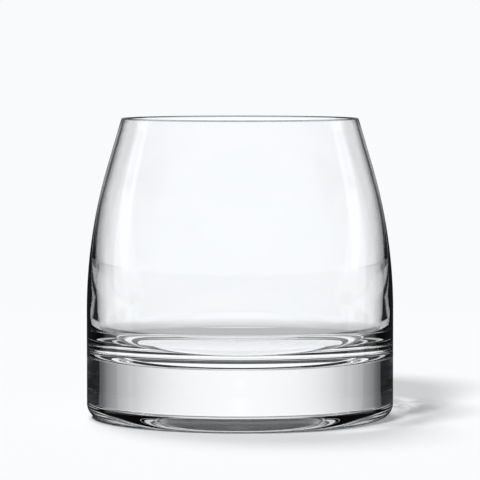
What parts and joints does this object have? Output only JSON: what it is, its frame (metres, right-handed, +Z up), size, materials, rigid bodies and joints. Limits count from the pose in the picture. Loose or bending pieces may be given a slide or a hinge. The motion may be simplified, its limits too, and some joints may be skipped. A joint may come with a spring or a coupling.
{
  "type": "cognac glass",
  "caption": "Clear glass tumbler for cognac: a thin bowl that tapers in to a fire-polished rim, fused to a heavy solid base with a rounded heel, a narrow standing ring and a hollow underneath.",
  "frame": {"origin": "centre of the plane that the glass stands on", "axes": "+Z up along the axis of the glass, towards the rim; X and Y are any two square directions, because the glass is round"},
  "size_m": [0.09, 0.09, 0.088],
  "materials": {
    "bowl_glass": "clear, colourless, fire-polished",
    "base_glass": "clear, colourless, polished, fine wear on the standing ring"
  },
  "bodies": {
    "root": {"bowl": "bowl_glass", "base": "base_glass"}
  },
  "joints": []
}
